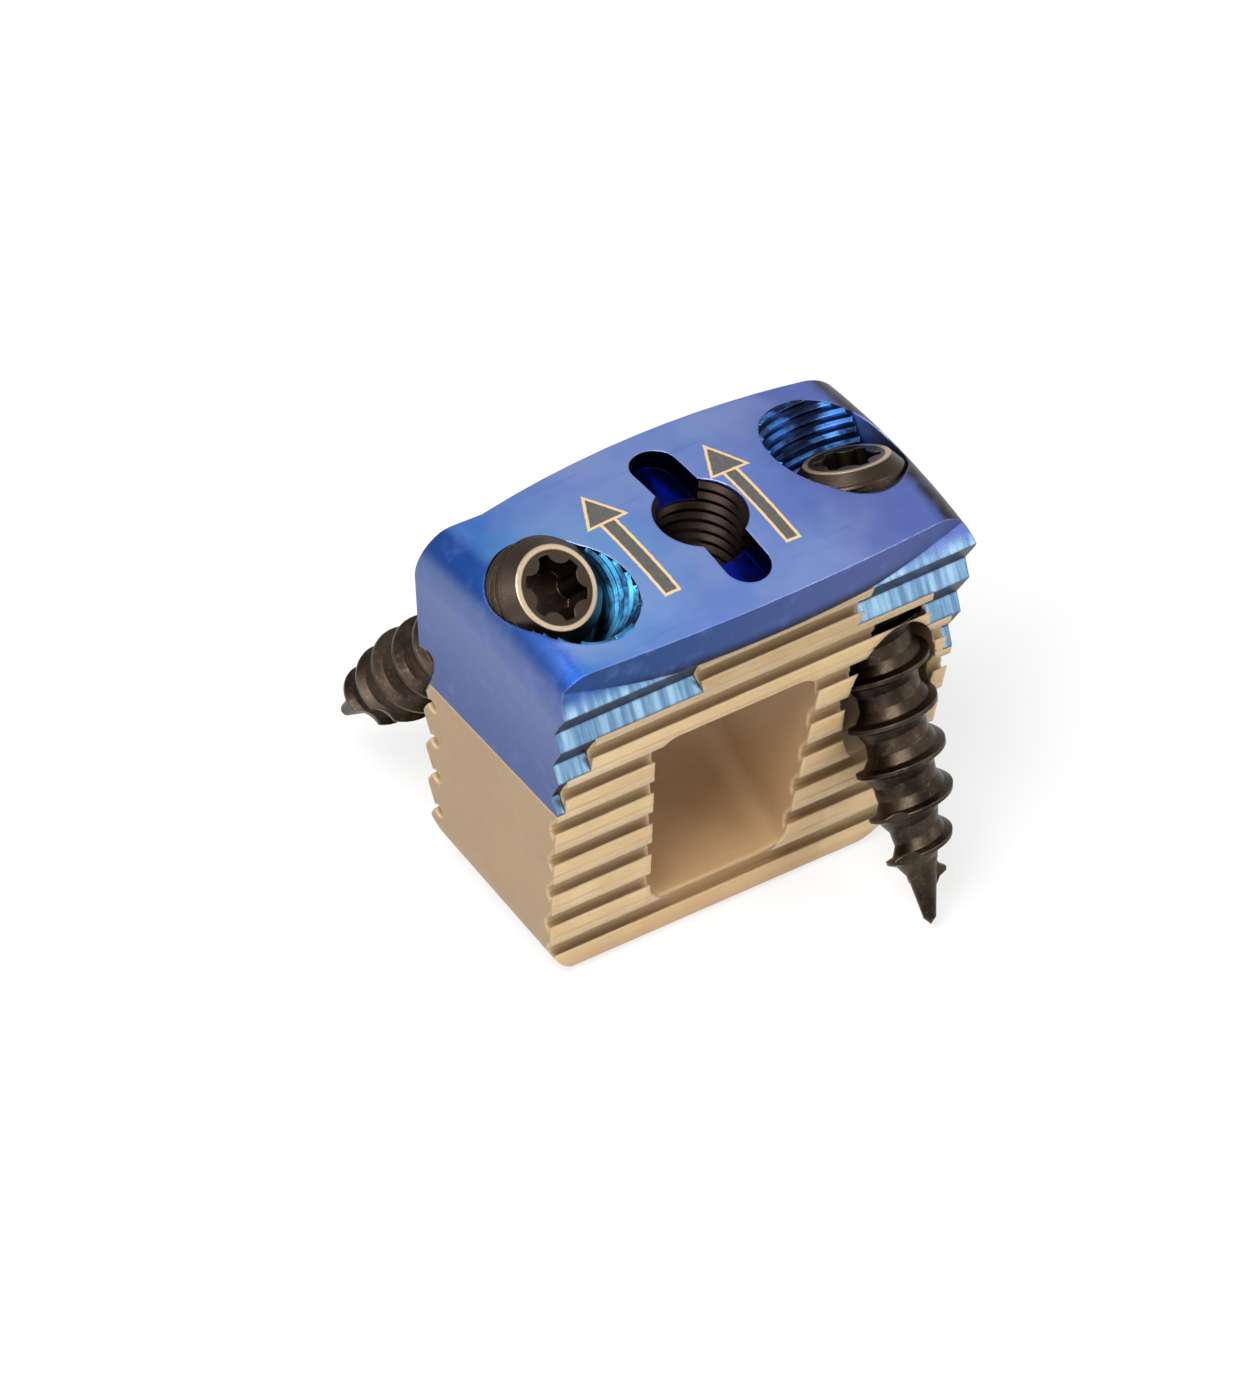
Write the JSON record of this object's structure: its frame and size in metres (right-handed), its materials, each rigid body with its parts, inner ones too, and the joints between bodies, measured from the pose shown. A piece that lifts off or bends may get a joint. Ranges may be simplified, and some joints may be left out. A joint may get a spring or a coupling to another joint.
{
  "type": "spinal interbody cage",
  "caption": "Wedge-shaped interbody cage: a polymer body with a graft window and toothed faces, a blue metal front plate and angled bone screws.",
  "frame": {"origin": "centre of the posterior face, which the part stands on", "axes": "+X across the front to the right, +Y towards the superior endplate face, +Z from the posterior face to the front plate"},
  "size_m": [0.017, 0.0176, 0.016],
  "materials": {
    "cage_polymer": "satin machined polymer",
    "plate_blue": "blue anodised titanium",
    "bush_metal": "dark threaded titanium",
    "screw_dark": "dark bronze-grey anodised titanium",
    "marker_metal": "bare heavy metal",
    "pin_metal": "bare titanium"
  },
  "bodies": {
    "root": {"cage_body": "cage_polymer", "front_plate": "plate_blue", "threaded_bush": "bush_metal", "bone_screw_left": "screw_dark", "bone_screw_right": "screw_dark", "marker_pin_left": "marker_metal", "marker_pin_right": "marker_metal", "plate_pin_left": "pin_metal", "plate_pin_right": "pin_metal"}
  },
  "joints": []
}
